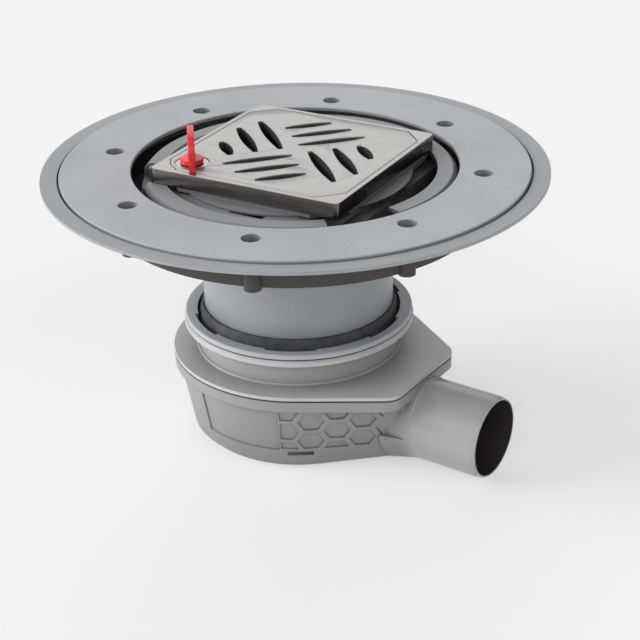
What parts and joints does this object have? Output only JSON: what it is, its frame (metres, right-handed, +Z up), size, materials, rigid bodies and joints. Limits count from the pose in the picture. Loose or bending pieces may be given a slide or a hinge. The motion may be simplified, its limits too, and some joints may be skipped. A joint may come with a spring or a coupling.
{
  "type": "floor gully trap",
  "caption": "Low side-outlet floor gully with a water trap, a flanged height-adjustable riser, a loose clamp ring, and a turnable upper section with a lockable slotted square grate.",
  "frame": {"origin": "on the inlet axis, at the underside of the trap body", "axes": "+X along the outlet, +Z up"},
  "size_m": [0.3, 0.3, 0.1986],
  "materials": {
    "pp_body": "satin moulded polypropylene, warm grey",
    "pp_riser": "matt moulded polypropylene, cool grey",
    "rubber": "matt black",
    "steel": "fine brushed stainless",
    "key_red": "satin red"
  },
  "bodies": {
    "trap": {"trap_body": "pp_body", "deck_gasket": "rubber", "trap_deck": "pp_body", "lip_seal": "rubber", "retaining_ring": "pp_riser", "trap_cup": "pp_riser", "trap_gasket": "rubber", "trap_insert": "pp_riser", "trap_handle": "pp_riser"},
    "riser": {"riser_flange": "pp_riser", "clamp_ring": "pp_riser"},
    "spout_ring": {"spout_seal": "rubber"},
    "top": {"upper_section": "pp_riser", "frame_carrier": "pp_riser", "steel_frame": "steel", "grate": "steel", "grate_base": "pp_riser", "lock_ring": "steel"},
    "lock": {"lock_barrel": "pp_riser", "lock_cam": "steel", "cam_screw": "steel"},
    "key": {"lock_key": "key_red"}
  },
  "joints": [
    {"name": "riser_height", "type": "slide", "parent": "trap", "child": "riser", "axis": [0, 0, 1], "range_m": [-0.01, 0.004]},
    {"name": "top_height", "type": "slide", "parent": "riser", "child": "spout_ring", "axis": [0, 0, 1], "range_m": [0, 0.016]},
    {"name": "top_turn", "type": "hinge", "parent": "spout_ring", "child": "top", "pos_m": [0.0032, 0, 0.16], "axis": [0, 0, 1], "continuous": true},
    {"name": "lock_turn", "type": "hinge", "parent": "top", "child": "lock", "pos_m": [-0.03985, -0.04749, 0.17], "axis": [0, 0, 1], "range_deg": [0, 90]},
    {"name": "key_pull", "type": "slide", "parent": "lock", "child": "key", "axis": [0, 0, 1], "range_m": [0, 0.03]}
  ]
}
